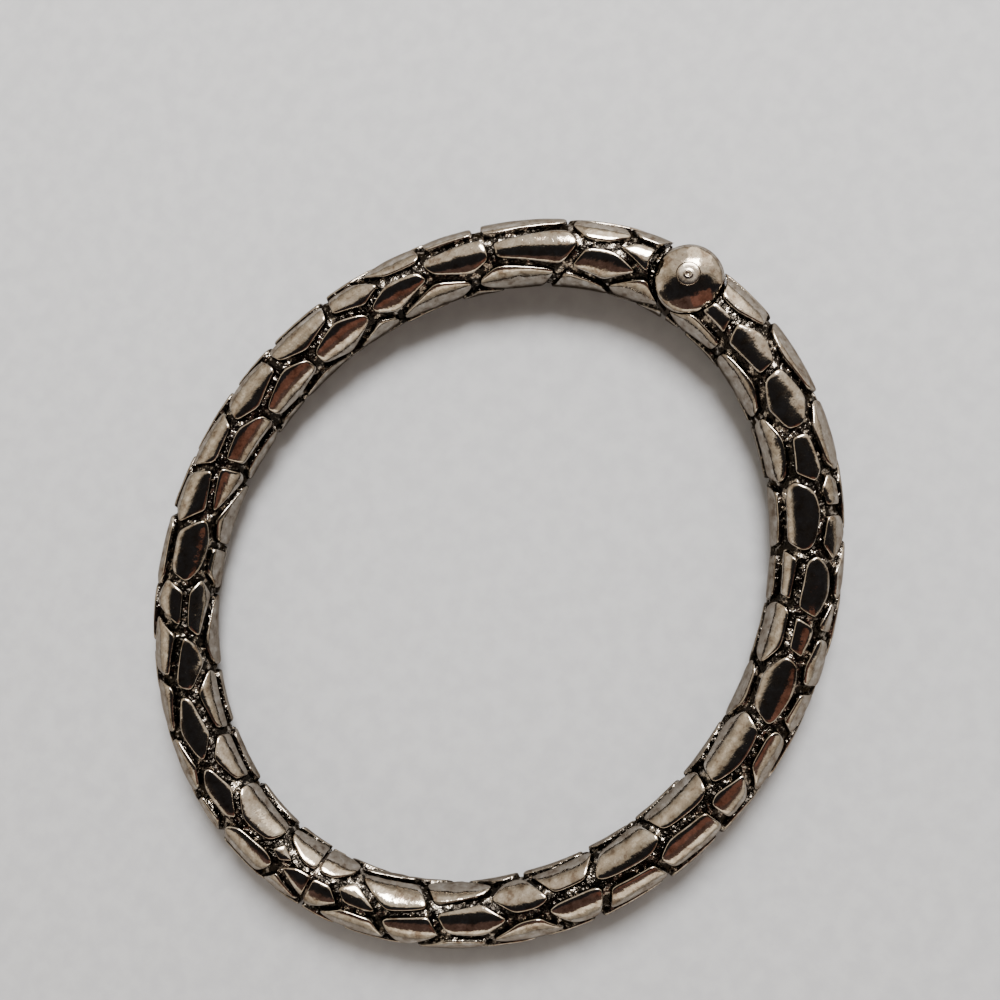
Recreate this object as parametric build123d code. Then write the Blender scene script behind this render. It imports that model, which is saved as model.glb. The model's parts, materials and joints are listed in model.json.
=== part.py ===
from build123d import *
import math
import os
import numpy as np

# Hinged oval bangle, cast in white metal with raised scales all round, lying on its side.
# Lengths are millimetres. The hinge pin stands along Z at the +X end, the clasp seam is at -X,
# the flats of the lowest scales lie at Z = 0.

# Oval of the centre line, seen from above
HALF_LENGTH = 34.5
HALF_WIDTH = 29.65
SKEW = 0.0056
SQUARENESS = 0.0035

# Cast section and its relief
TUBE_RADIUS = 3.36
GROOVE_DEPTH = 0.55
GROOVE_HALF_WIDTH = 0.27
EDGE_DROP = 0.10
END_INSET = 0.06
REST_FLAT_DEPTH = 0.05
REST_FLAT_HALF_WIDTH = 0.45

# Growth of the section round the oval: share of the radius, and the angle where it is thickest
SWELL_ONCE = (0.051, -25.5)
SWELL_TWICE = (0.029, -27.0)

# Places along the oval, in hundredths of the way round from the +X end
HINGE_AT = 0.3
CLASP_AT = 51.3

# Scale pattern: how much longer than wide, the longest facet, the least side of a cell,
# how square the corners are, the crown's share of a scale and the half width that rises fully
STRETCH = 1.75
FACET_LENGTH = 2.6
SNAP = 0.35
CORNER_POWER = 7.0
CROWN_SHARE = 0.5
FULL_RISE_REACH = 0.5

# Hinge: round knuckle on the right half, cupped by the left half, tongue and slot at mid height
KNUCKLE_RADIUS = 3.4
KNUCKLE_SHIFT = 0.75
KNUCKLE_SIDES = 32
CUT_REACH = 3 * KNUCKLE_RADIUS
CUT_TURN = 90.0
DOME_POWER = 2.4
DOME_RINGS = 5
CORE_RADIUS = 2.35
CORE_REACH = 4.9
CORE_GAP = 0.25
LEFT_CUP_GAP = 0.62
RIGHT_CUP_GAP = 0.40
LEFT_HORNS = (52.0, 168.0)
RIGHT_SHOULDERS = (186.0, 337.0)
OPEN_ANGLE = 65.0
TONGUE_RADIUS = 2.7
TONGUE_THICKNESS = 2.4
TONGUE_TO_WRIST = 2.4
TONGUE_TO_OUTSIDE = 1.6
TONGUE_CLEARANCE = 0.12
SLOT_MARGIN = 4.0
PIN_RADIUS = 0.8
PIN_HEAD_RADIUS = 1.15
PIN_HEAD_THICKNESS = 0.35
PIN_HEAD_PROUD = 0.08
PIN_HEAD_ROUNDING = 0.05
PIN_SEAT_RIM = 0.3
PIN_CLEARANCE = 0.05
PIN_ABOVE_FLOOR = 0.03

# Clasp: plate in the seam, shank in the right half, tapered peg in the left half
SEAM_GAP = 0.4
PLATE_THICKNESS = 0.3
PLATE_RADIUS = 2.55
PEG_RADIUS = 1.2
PEG_TIP_RADIUS = 0.95
PEG_LENGTH = 1.6
SHANK_RADIUS = 1.5
SHANK_LENGTH = 2.0
SHANK_CLEARANCE = 0.02
PEG_CLEARANCE = 0.15
BORE_SIDES = 24

# Charted scales: where each starts and ends, in hundredths of the way round,
# and the middle angle round the section, in degrees (0 outer side, 90 top, 180 inner side)
SCALE_CHART = (
    (2.2, 3.4, 80), (1.4, 3.7, 151), (3.0, 5.7, 115), (3.4, 5.8, 49), (2.0, 3.4, 35),
    (4.1, 7.3, 172), (5.9, 9.9, 88), (6.8, 10.9, 153), (6.6, 10.5, 33), (10.2, 13.2, 93),
    (10.9, 13.4, 35), (11.4, 15.4, 157), (13.6, 16.6, 115), (13.4, 16.4, 43), (16.0, 17.9, 160),
    (15.9, 18.4, 75), (17.1, 20.4, 126), (18.9, 22.0, 71), (20.9, 24.2, 127), (22.5, 25.5, 78),
    (24.7, 27.9, 129), (25.9, 28.5, 64), (27.4, 30.2, 134), (28.4, 31.5, 78), (25.1, 27.8, 171),
    (28.6, 32.1, 170), (30.7, 34.2, 99), (31.6, 33.9, 40), (32.1, 34.6, 166), (33.9, 37.1, 139),
    (34.2, 36.6, 80), (34.6, 38.6, 179), (35.8, 38.9, 63), (37.1, 39.8, 110), (38.9, 42.1, 145),
    (39.9, 43.2, 97), (38.9, 41.4, 48), (41.7, 44.4, 47), (42.2, 45.1, 137), (43.7, 46.5, 92),
    (44.7, 46.1, 48), (45.2, 48.9, 133), (46.4, 49.4, 63), (49.1, 53.2, 148), (49.2, 50.0, 116),
    (50.0, 52.8, 86), (49.2, 50.6, 54), (52.6, 55.1, 110), (53.6, 57.5, 134), (52.6, 55.1, 54),
    (55.2, 57.9, 73), (54.2, 56.7, 168), (56.7, 60.4, 153), (57.9, 61.2, 90), (57.8, 60.1, 33),
    (60.7, 63.3, 123), (60.4, 63.4, 46), (62.9, 66.1, 145), (63.6, 65.8, 69), (66.2, 69.7, 120),
    (66.1, 69.0, 54), (69.0, 72.2, 64), (69.5, 73.1, 137), (72.6, 74.4, 66), (73.5, 77.0, 124),
    (74.4, 76.9, 47), (77.4, 80.4, 100), (77.1, 79.0, 36), (76.8, 79.6, 168), (79.4, 81.6, 40),
    (79.7, 82.9, 141), (80.7, 82.1, 89), (81.9, 82.9, 40), (82.5, 85.2, 79), (83.3, 85.1, 126),
    (83.1, 85.1, 162), (83.3, 85.5, 23), (85.1, 87.2, 50), (85.5, 88.7, 104), (87.6, 88.8, 51),
    (85.6, 88.8, 168), (88.8, 91.1, 84), (89.0, 92.1, 144), (89.0, 92.4, 34), (91.1, 94.4, 87),
    (92.6, 96.2, 31), (94.2, 97.1, 96), (92.7, 96.7, 158), (96.2, 99.4, 46), (97.3, 98.6, 108),
    (96.7, 99.7, 150),
)

# Rows of the side that lies down: angle round the section, first start and mean length,
# in hundredths of the way round. The row at REST_ANGLE carries the bangle
REST_ANGLE = 270
LOWER_ROWS = (
    (198, 0.6, 3.3),
    (226, 2.4, 3.5),
    (270, 1.0, 3.6),
    (314, 2.7, 3.4),
    (358, 1.3, 3.1),
)
LENGTH_VARIATION = 0.22
ANGLE_VARIATION = 5.0
FILL_SHARE = 0.46
ROOM_ALONG = 1.15
ROOM_ACROSS = 41.0
END_REACH_SHARE = 0.06
NEIGHBOURS = 45

TURNS = np.linspace(0.0, 2 * math.pi, 2881)
OVAL = 1 + SKEW * np.cos(3 * TURNS) + SQUARENESS * np.cos(4 * TURNS)
OVAL_X = HALF_LENGTH * OVAL * np.cos(TURNS)
OVAL_Y = HALF_WIDTH * OVAL * np.sin(TURNS)
RUN = np.concatenate([[0.0], np.cumsum(np.hypot(np.diff(OVAL_X), np.diff(OVAL_Y)))])
GIRTH = float(RUN[-1])
LAP = 2 * math.pi * TUBE_RADIUS


def station(share):
    """Distance along the centre line, from hundredths of the way round."""
    return share * GIRTH / 100


def section_at(along):
    """Centre (x, y), direction of travel and tube radius at a distance along the centre line."""
    turn = np.interp(np.mod(along, GIRTH), RUN, TURNS)
    around = np.stack([turn, turn + TURNS[1], turn - TURNS[1]])
    spots = np.stack([np.interp(around, TURNS, OVAL_X, period=2 * math.pi),
                      np.interp(around, TURNS, OVAL_Y, period=2 * math.pi)], -1)
    travel = spots[1] - spots[2]
    travel = travel / np.linalg.norm(travel, axis=-1, keepdims=True)
    once = SWELL_ONCE[0] * np.cos(turn - math.radians(SWELL_ONCE[1]))
    twice = SWELL_TWICE[0] * np.cos(2 * (turn - math.radians(SWELL_TWICE[1])))
    return spots[0], travel, TUBE_RADIUS * (1 + once + twice)


def place(flat, depth):
    """Points on the cast surface from unrolled points (distance along, arc round the section).

    Depth is counted down from the tops. The lowest point of each section is at Z = 0,
    worn flat by REST_FLAT_DEPTH."""
    flat = np.asarray(flat, float)
    angle = flat[:, 1] / TUBE_RADIUS
    centre, travel, radius = section_at(flat[:, 0])
    reach = radius - depth
    outward = reach * np.cos(angle)
    x = centre[:, 0] + outward * travel[:, 1]
    y = centre[:, 1] - outward * travel[:, 0]
    z = np.maximum(radius + reach * np.sin(angle) - REST_FLAT_DEPTH, 0.0)
    return np.stack([x, y, z], -1)


def arc_at(angle):
    """Arc round the mean section, from degrees."""
    return TUBE_RADIUS * math.radians(angle)


def lower_scales(charted):
    """Scales of the side that lies down, in rows, wherever no charted scale is near."""
    found = []
    for row, (angle, start, length) in enumerate(LOWER_ROWS):
        count = round(100 / length)
        for step in range(count):
            sway = LENGTH_VARIATION * math.sin(2.4 * step + 1.7 * row)
            tilt = 0.0 if angle == REST_ANGLE else ANGLE_VARIATION * math.sin(1.9 * step + row)
            along = station(start + (step + 0.5 * sway) * 100 / count)
            half = station(FILL_SHARE * (1 + 0.5 * sway) * 100 / count)
            near = [abs((along - other + GIRTH / 2) % GIRTH - GIRTH / 2) < ROOM_ALONG * max(half, size)
                    and abs((angle + tilt - turn + 180) % 360 - 180) < ROOM_ACROSS
                    for other, turn, size in charted]
            if not any(near):
                found.append((along, (angle + tilt) % 360, half))
    return found


def all_scales():
    """One row for each scale: middle distance, middle angle and half length."""
    charted = [(station((start + end) / 2), angle, station((end - start) / 2))
               for start, end, angle in SCALE_CHART]
    return charted + lower_scales(charted)


def clip(outline, normal, limit):
    """The part of a convex outline on the low side of a line.

    An outline is a list of corners, each with the kind of the edge that follows it."""
    kept = []
    for (corner, kind), (following, _) in zip(outline, outline[1:] + outline[:1]):
        here = corner[0] * normal[0] + corner[1] * normal[1] - limit
        there = following[0] * normal[0] + following[1] * normal[1] - limit
        if here <= 0:
            kept.append((corner, kind))
        if here * there < 0:
            share = here / (here - there)
            crossing = (corner[0] + share * (following[0] - corner[0]),
                        corner[1] + share * (following[1] - corner[1]))
            kept.append((crossing, "groove" if here <= 0 else kind))
    return kept


def cells_between(low, high):
    """Outlines of the scales between two stations: each point belongs to the nearest scale.

    Distances across are stretched and long scales weigh more, so cells come out like the scales.
    Each cell comes with the arc of its resting line, or None where it doesn't rest."""
    copies = [(along + lap * GIRTH, STRETCH * arc_at(angle + turn), half, angle == REST_ANGLE)
              for along, angle, half in all_scales() for lap in (-1, 0, 1) for turn in (-360, 0, 360)]
    spots = np.array([copy[:2] for copy in copies])
    weights = np.array([copy[2] for copy in copies]) ** 2
    end_reach = END_REACH_SHARE * GIRTH
    cells = []
    for x, y, half, rests in copies:
        if not (0 <= y < STRETCH * LAP and low - end_reach < x < high + end_reach):
            continue
        offset = spots - (x, y)
        squares = (offset ** 2).sum(1)
        bottom, top = y - STRETCH * LAP / 2, y + STRETCH * LAP / 2
        outline = [(corner, "end") for corner in ((low, bottom), (high, bottom), (high, top), (low, top))]
        for other in np.argsort(squares)[1:NEIGHBOURS]:
            limit = (squares[other] + half ** 2 - weights[other]) / 2 + offset[other] @ (x, y)
            outline = clip(outline, offset[other], limit)
            if len(outline) < 3:
                break
        if len(outline) >= 3:
            corners = [((along, across / STRETCH), kind) for (along, across), kind in outline]
            cells.append((corners, y / STRETCH if rests else None))
    return cells


def join_corners(cells, low, high):
    """Joins corners that lie closer than SNAP, so that no side is a sliver."""
    spots = []

    def settled(corner):
        at_end = corner[0] in (low, high)
        for spot in spots:
            rise = (corner[1] - spot[1] + LAP / 2) % LAP - LAP / 2
            if math.hypot(corner[0] - spot[0], rise) < SNAP and at_end == (spot[0] in (low, high)):
                return spot[0], corner[1] - rise
        spots.append(corner)
        return corner

    for outline, _ in cells:
        for corner, _ in outline:
            if corner[0] in (low, high):
                settled(corner)
    joined = []
    for outline, rest_arc in cells:
        moved = [(settled(corner), kind) for corner, kind in outline]
        kept = [(corner, kind) for (corner, kind), (following, _) in zip(moved, moved[1:] + moved[:1])
                if math.dist(corner, following) > SNAP / 10]
        if len(kept) >= 3:
            joined.append((kept, rest_arc))
    return joined


def scale_rings(outline, rest_arc):
    """Unrolled rings of one scale: its foot in the groove, its rim and its crown, and its centre.

    The rim is inset from each side by the groove and rounded where sides meet."""
    foot_corners = np.array([corner for corner, _ in outline])
    sides = np.roll(foot_corners, -1, axis=0) - foot_corners
    lengths = np.hypot(sides[:, 0], sides[:, 1])
    normals = np.stack([sides[:, 1], -sides[:, 0]], -1) / lengths[:, None]
    ahead = foot_corners + sides
    areas = foot_corners[:, 0] * ahead[:, 1] - ahead[:, 0] * foot_corners[:, 1]
    centre = ((foot_corners + ahead) * areas[:, None]).sum(0) / (3 * areas.sum())
    inset = np.array([GROOVE_HALF_WIDTH if kind == "groove" else END_INSET for _, kind in outline])
    room = np.maximum(((foot_corners - centre) * normals).sum(1) - inset, inset / 2)
    foot = np.array([corner + step / math.ceil(length / FACET_LENGTH) * side
                     for corner, side, length in zip(foot_corners, sides, lengths)
                     for step in range(math.ceil(length / FACET_LENGTH))])
    rays = foot - centre
    gauge = (np.maximum(rays @ normals.T / room, 0) ** CORNER_POWER).sum(1) ** (1 / CORNER_POWER)
    rim = centre + rays / gauge[:, None]
    crown = centre + CROWN_SHARE * (rim - centre)
    if rest_arc is not None:
        crown[:, 1] = np.clip(crown[:, 1], rest_arc - REST_FLAT_HALF_WIDTH, rest_arc + REST_FLAT_HALF_WIDTH)
    rise = min(1.0, room.min() / FULL_RISE_REACH)
    return foot, rim, crown, centre, rise


def scale_facets(outline, rest_arc):
    """Facets of one scale: walls from the groove to the rim, shoulders to the crown, and the top."""
    foot, rim, crown, centre, rise = scale_rings(outline, rest_arc)
    top_depth = GROOVE_DEPTH * (1 - rise)
    rings = [place(foot, GROOVE_DEPTH), place(rim, top_depth + EDGE_DROP * rise), place(crown, top_depth)]
    facets = []
    for lower, upper in zip(rings, rings[1:]):
        for here in range(len(foot)):
            there = (here + 1) % len(foot)
            facets.append([lower[here], lower[there], upper[there]])
            facets.append([lower[here], upper[there], upper[here]])
    if rest_arc is not None:
        return facets + [list(rings[2])]
    peak = place([centre], top_depth)[0]
    return facets + [[rings[2][here], rings[2][(here + 1) % len(foot)], peak] for here in range(len(foot))]


def polyhedron(facets):
    """Solid closed by flat facets, each a list of corners that turns left seen from outside."""
    faces = [Face(Wire.make_polygon([tuple(map(float, corner)) for corner in facet], close=True))
             for facet in facets]
    return Solid(Shell(faces))


def scaled_tube(low, high):
    """Half of the bangle as cast, between two stations, with flat ends at the groove depth."""
    facets = []
    end_feet = {low: [], high: []}
    for outline, rest_arc in join_corners(cells_between(low, high), low, high):
        facets += scale_facets(outline, rest_arc)
        for along, across in scale_rings(outline, rest_arc)[0]:
            if along in end_feet:
                end_feet[along].append(across % LAP)
    for end, turning in ((low, 1), (high, -1)):
        across = np.sort(np.unique(np.round(end_feet[end], 6)))[::turning]
        facets.append(list(place(np.stack([np.full(len(across), end), across], -1), GROOVE_DEPTH)))
    return polyhedron(facets)


HINGE_CENTRE, PIN_AHEAD, HINGE_SECTION = section_at(station(HINGE_AT))
PIN_OUTWARD = np.array([PIN_AHEAD[1], -PIN_AHEAD[0]])
PIN_SPOT = HINGE_CENTRE + KNUCKLE_SHIFT * PIN_OUTWARD
HINGE_HEIGHT = HINGE_SECTION - REST_FLAT_DEPTH
KNUCKLE_RISE = HINGE_HEIGHT - PIN_ABOVE_FLOOR - PIN_HEAD_PROUD
FULL_HEIGHT = 2 * HINGE_HEIGHT + REST_FLAT_DEPTH
THROUGH = (-FULL_HEIGHT, 2 * FULL_HEIGHT)


def by_pin(outward, ahead):
    """Point (x, y) from the pin: towards the outside and along the travel of the oval."""
    spot = PIN_SPOT + outward * PIN_OUTWARD + ahead * PIN_AHEAD
    return float(spot[0]), float(spot[1])


def round_pin(radius, angle):
    """Point (x, y) round the pin: 0 degrees points outward, 90 along the travel of the oval."""
    return by_pin(radius * math.cos(math.radians(angle)), radius * math.sin(math.radians(angle)))


def upright_block(points, low, high):
    """Block over a flat outline, between two heights."""
    base = Face(Wire.make_polygon([(x, y, low) for x, y in points], close=True))
    return Solid.extrude(base, Vector(0, 0, high - low))


def pin_disc(radius, low, high):
    """Many-sided disc round the pin."""
    turns = [360 * side / KNUCKLE_SIDES for side in range(KNUCKLE_SIDES)]
    return upright_block([round_pin(radius, turn) for turn in turns], low, high)


def pin_wedge(first, last, reach, low, high):
    """Wedge from the pin outwards, between two angles."""
    turns = np.linspace(first, last, 7)
    return upright_block([by_pin(0, 0)] + [round_pin(reach, turn) for turn in turns], low, high)


def bore(plane, radius, length):
    """Many-sided bore or peg hole that clears a round of the given radius."""
    return extrude(plane * RegularPolygon(radius, BORE_SIDES, major_radius=False), length)


def knuckle():
    """Round bun whose top and bottom are flat where the pin's heads sit."""
    seat = (PIN_HEAD_RADIUS + PIN_SEAT_RIM) / KNUCKLE_RADIUS
    last = math.acos(seat ** (DOME_POWER / 2))
    leans = [last * (step / DOME_RINGS) for step in range(-DOME_RINGS, DOME_RINGS + 1)]
    rises = [math.copysign(abs(math.sin(lean)) ** (2 / DOME_POWER), lean) for lean in leans]
    turns = [360 * side / KNUCKLE_SIDES for side in range(KNUCKLE_SIDES)]
    rings = []
    for lean, rise in zip(leans, rises):
        radius = KNUCKLE_RADIUS * math.cos(lean) ** (2 / DOME_POWER)
        height = HINGE_HEIGHT + KNUCKLE_RISE * rise / rises[-1]
        rings.append([(*round_pin(radius, turn), height) for turn in turns])
    facets = [rings[0][::-1], rings[-1]]
    for lower, upper in zip(rings, rings[1:]):
        for here in range(KNUCKLE_SIDES):
            there = (here + 1) % KNUCKLE_SIDES
            facets.append([lower[here], lower[there], upper[there], upper[here]])
    return polyhedron(facets)


def core(side):
    """Plain core of a half beside the knuckle: side is 1 along the travel and -1 against it."""
    spot = (*map(float, HINGE_CENTRE), float(HINGE_HEIGHT))
    plane = Plane(spot, z_dir=(*map(float, side * PIN_AHEAD), 0.0))
    return bore(plane, CORE_RADIUS, CORE_REACH)


def pin_bore():
    """Bore for the pin with a wider seat for each head."""
    spot = by_pin(0, 0)
    hole = bore(Plane((*spot, 0)), PIN_RADIUS + PIN_CLEARANCE, FULL_HEIGHT)
    seat_radius = PIN_HEAD_RADIUS + PIN_CLEARANCE
    seat_depth = PIN_HEAD_THICKNESS - PIN_HEAD_PROUD + PIN_CLEARANCE
    for side in (1, -1):
        floor = HINGE_HEIGHT + side * (KNUCKLE_RISE - seat_depth)
        hole += bore(Plane((*spot, floor), z_dir=(0, 0, side)), seat_radius, FULL_HEIGHT)
    return hole


def hinge_tongue():
    """Flat tongue of the left half, with the bore for the pin."""
    low = HINGE_HEIGHT - TONGUE_THICKNESS / 2
    high = HINGE_HEIGHT + TONGUE_THICKNESS / 2
    arm = [by_pin(-TONGUE_TO_WRIST, 0), by_pin(TONGUE_TO_OUTSIDE, 0),
           by_pin(TONGUE_TO_OUTSIDE, CORE_REACH), by_pin(-TONGUE_TO_WRIST, CORE_REACH)]
    tongue = pin_disc(TONGUE_RADIUS, low, high) + upright_block(arm, low, high)
    return tongue - bore(Plane((*by_pin(0, 0), low)), PIN_RADIUS + PIN_CLEARANCE, TONGUE_THICKNESS)


def hinge_slot():
    """Slot of the knuckle, wide enough for the tongue's whole travel."""
    low = HINGE_HEIGHT - TONGUE_THICKNESS / 2 - TONGUE_CLEARANCE
    high = HINGE_HEIGHT + TONGUE_THICKNESS / 2 + TONGUE_CLEARANCE
    radius = TONGUE_RADIUS + TONGUE_CLEARANCE
    first = math.degrees(math.acos(TONGUE_TO_OUTSIDE / radius)) - OPEN_ANGLE - SLOT_MARGIN
    last = 180 - math.degrees(math.acos(TONGUE_TO_WRIST / radius)) + SLOT_MARGIN
    return pin_disc(radius, low, high) + pin_wedge(first, last, KNUCKLE_RADIUS + LEFT_CUP_GAP, low, high)


def seam_plane(offset):
    """Plane of the clasp seam at an offset along the travel, centred on the section."""
    centre, travel, radius = section_at(station(CLASP_AT))
    spot = centre + offset * travel
    return Plane((float(spot[0]), float(spot[1]), float(radius - REST_FLAT_DEPTH)),
                 z_dir=(float(travel[0]), float(travel[1]), 0.0))


def left_half():
    """The half from the hinge over +Y to the seam, cupped round the knuckle, with the tongue."""
    outer_horn, inner_horn = LEFT_HORNS
    half = scaled_tube(station(HINGE_AT), station(CLASP_AT) - SEAM_GAP / 2)
    half -= pin_disc(KNUCKLE_RADIUS + LEFT_CUP_GAP, *THROUGH)
    half -= pin_wedge(outer_horn - CUT_TURN, outer_horn, CUT_REACH, *THROUGH)
    half -= pin_wedge(inner_horn, inner_horn + CUT_TURN, CUT_REACH, *THROUGH)
    half += core(1) - pin_disc(KNUCKLE_RADIUS + CORE_GAP, *THROUGH)
    half += hinge_tongue()
    depth = PLATE_THICKNESS + PEG_LENGTH + PEG_CLEARANCE
    return half - bore(seam_plane(SEAM_GAP / 2 - depth), PEG_RADIUS + PEG_CLEARANCE, depth)


def right_half():
    """The half from the seam over -Y to the hinge, with the slotted knuckle."""
    inner_shoulder, outer_shoulder = RIGHT_SHOULDERS
    half = scaled_tube(station(CLASP_AT) + SEAM_GAP / 2, station(100 + HINGE_AT))
    half -= pin_disc(KNUCKLE_RADIUS + RIGHT_CUP_GAP, *THROUGH)
    half -= pin_wedge(inner_shoulder - CUT_TURN, inner_shoulder, CUT_REACH, *THROUGH)
    half -= pin_wedge(outer_shoulder, outer_shoulder + CUT_TURN, CUT_REACH, *THROUGH)
    half += core(-1)
    half += knuckle()
    half -= hinge_slot()
    half -= pin_bore()
    return half - bore(seam_plane(0), SHANK_RADIUS + SHANK_CLEARANCE, SEAM_GAP / 2 + SHANK_LENGTH)


def hinge_pin():
    """Rivet through knuckle and tongue, with a low round head at each end."""
    half_length = KNUCKLE_RISE + PIN_HEAD_PROUD
    head_height = half_length - PIN_HEAD_THICKNESS / 2
    rivet = Cylinder(PIN_RADIUS, 2 * head_height)
    for side in (1, -1):
        rivet += Pos(0, 0, side * head_height) * Cylinder(PIN_HEAD_RADIUS, PIN_HEAD_THICKNESS)
    rims = rivet.edges().group_by(Axis.Z)
    pin = fillet(rims[0] + rims[-1], PIN_HEAD_ROUNDING)
    return Pos(*by_pin(0, 0), float(HINGE_HEIGHT)) * pin


def clasp_peg():
    """Plate in the seam with a shank held by the right half and a peg that enters the left half."""
    up = Align.CENTER, Align.CENTER, Align.MIN
    plate_end = SEAM_GAP / 2 - SHANK_CLEARANCE
    plate = seam_plane(plate_end - PLATE_THICKNESS) * Cylinder(PLATE_RADIUS, PLATE_THICKNESS, align=up)
    shank = seam_plane(plate_end) * Cylinder(SHANK_RADIUS, SHANK_LENGTH, align=up)
    peg_start = plate_end - PLATE_THICKNESS - PEG_LENGTH
    peg = seam_plane(peg_start) * Cone(PEG_TIP_RADIUS, PEG_RADIUS, PEG_LENGTH, align=up)
    return plate + shank + peg


def main():
    pieces = {
        "right_half": right_half(),
        "left_half": left_half(),
        "hinge_pin": hinge_pin(),
        "clasp_peg": clasp_peg(),
    }
    box = Compound([solid for piece in pieces.values() for solid in piece.solids()]).bounding_box()
    shift = Pos(-box.center().X, -box.center().Y, -box.min.Z)
    os.makedirs("parts", exist_ok=True)
    for name, piece in pieces.items():
        export_step(shift * piece, f"parts/{name}.step")
    pin = Vector(*by_pin(0, 0), HINGE_HEIGHT) + shift.position
    print(f"pin axis at {pin.X:.4f}, {pin.Y:.4f}, mid height {pin.Z:.4f}")
    print(f"oval centre at {shift.position.X:.4f}, {shift.position.Y:.4f}, {shift.position.Z:.4f}")


main()
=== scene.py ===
import json
import math
import bpy
import numpy as np
from mathutils import Matrix


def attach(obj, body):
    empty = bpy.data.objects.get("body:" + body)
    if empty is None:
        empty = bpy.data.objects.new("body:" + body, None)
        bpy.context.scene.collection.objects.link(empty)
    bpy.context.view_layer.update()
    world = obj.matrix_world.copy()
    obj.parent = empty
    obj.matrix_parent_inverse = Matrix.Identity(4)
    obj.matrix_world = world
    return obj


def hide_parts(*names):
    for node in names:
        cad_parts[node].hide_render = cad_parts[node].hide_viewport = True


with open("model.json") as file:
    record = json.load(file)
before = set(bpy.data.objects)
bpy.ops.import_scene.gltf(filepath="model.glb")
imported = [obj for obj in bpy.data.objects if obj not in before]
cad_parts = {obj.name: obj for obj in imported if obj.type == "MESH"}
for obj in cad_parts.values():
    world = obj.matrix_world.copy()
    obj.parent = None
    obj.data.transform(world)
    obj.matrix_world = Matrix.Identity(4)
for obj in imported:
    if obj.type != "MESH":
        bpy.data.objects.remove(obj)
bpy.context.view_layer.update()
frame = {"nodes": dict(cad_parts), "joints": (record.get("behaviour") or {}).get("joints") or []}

# Hinged oval bangle of cast metal with raised scales, lying on its side. Lengths are
# millimetres until a piece is made. Oval, section, tongue and pin have the sizes of the part's
# source. The dome, the cups at the hinge, the seam and the rims of the scales are finished here.

# Oval of the centre line and the cast section. A swell is a share and the degrees of its peak,
# and hinge and clasp lie at hundredths of the way round
HALF_LENGTH = 34.5
HALF_WIDTH = 29.65
SKEW = 0.0056
SQUARENESS = 0.0035
TUBE_RADIUS = 3.36
GROOVE_DEPTH = 0.55
GROOVE_HALF_WIDTH = 0.27
END_INSET = 0.06
REST_FLAT_DEPTH = 0.05
SWELL_ONCE = (0.051, -25.5)
SWELL_TWICE = (0.029, -27.0)
HINGE_AT = 0.3
CLASP_AT = 51.3
STRETCH = 1.75

# Knuckle and its dome: offsets and leans are towards the outside and along the travel, and each
# wave has its share, its radians per millimetre in these two directions and its start. Within
# PIN_ZONE the dome stays round the pin. The last two are counts for the wall behind the slot
KNUCKLE_RADIUS = 3.4
KNUCKLE_SHIFT = 0.75
KNUCKLE_COLUMNS = 96
CUT_REACH = 3 * KNUCKLE_RADIUS
DOME_RADIUS = 3.5
DOME_OFFSET = (-0.18, -0.22)
DOME_BALL = 6.1
DOME_EDGE = 14.0
DOME_POINTS = 24
DOME_CROWDING = 2.2
DOME_LEAN = (0.009, 0.044)
DOME_WAVE = 0.03
DOME_WAVES = ((1, 1.9, -1.2, 0.4), (1, 2.6, 3.1, 0.0), (0.6, 4.6, -3.9, 1.1))
PIN_ZONE = 1.3
BACK_COLUMNS = 61
BACK_LEVELS = 11

# Core, tongue and slot: an ease cuts corners back, and the arm has rings ahead of the pin
CORE_RADIUS = 2.35
CORE_GAP = 0.25
TONGUE_RADIUS = 2.7
TONGUE_THICKNESS = 2.4
TONGUE_TO_WRIST = 2.4
TONGUE_TO_OUTSIDE = 1.6
TONGUE_CLEARANCE = 0.12
TONGUE_EASE = 0.12
TONGUE_ARM = (1.0, 1.4, 3.2, 4.6)
TONGUE_POLISH = 0.4
EYE_EASE = 0.1
OPEN_ANGLE = 65.0
SLOT_MARGIN = 4.0

# Right core at the slot: how near the pin it runs inside the cheeks, how far behind the slot's
# round it ends and how far over the slot's levels, and the squared distance outward beyond which
# it no longer follows the round
CORE_IN_CHEEKS = 1.9
CORE_BEHIND_SLOT = 0.13
CORE_OVER_SLOT = 0.02
ROUND_LIMIT = 8.0

# Shares of the way from the rim of a half's end face to its core, and down the left core's cup
FACE_SHARES = (0.12, 0.5, 1.0)
CUP_SHARES = (1.0, 0.97, 0.6)

# Rivet, its seat and its head: the table gives radius and height over the head's top, and the
# dimples' depths are those of the upper and the lower head
PIN_RADIUS = 0.8
PIN_HEAD_RADIUS = 1.15
PIN_HEAD_THICKNESS = 0.35
PIN_HEAD_PROUD = 0.08
PIN_CLEARANCE = 0.05
PIN_ABOVE_FLOOR = 0.03
PIN_EASE = 0.02
PIN_COLUMNS = 64
SEAT_CLEARANCE = 0.02
SEAT_LIP = 0.03
HEAD_TABLE = (
    (0.07, -0.10), (0.15, -0.08), (0.20, -0.03), (0.26, 0.015), (0.33, 0.03), (0.40, 0.015),
    (0.46, -0.01), (0.55, -0.012), (0.75, -0.016), (0.95, -0.026), (1.06, -0.04), (1.12, -0.06),
)
HEAD_SHOULDER = 0.12
DIMPLE_DEPTHS = (0.11, 0.1)

# Seam, recess of the clasp's plate, and holes of peg and shank, as radius and depth: an ease
# widens a mouth, and the rim share draws in the first ring of the end face
SEAM_GAP = 0.2
PLATE_RECESS = (2.62, 0.1)
PLATE_EASE = 0.02
PEG_HOLE = (1.35, 1.65)
SHANK_HOLE = (1.52, 2.0)
HOLE_EASE = (0.06, 0.05)
SEAM_RIM_SHARE = 0.98

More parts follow.
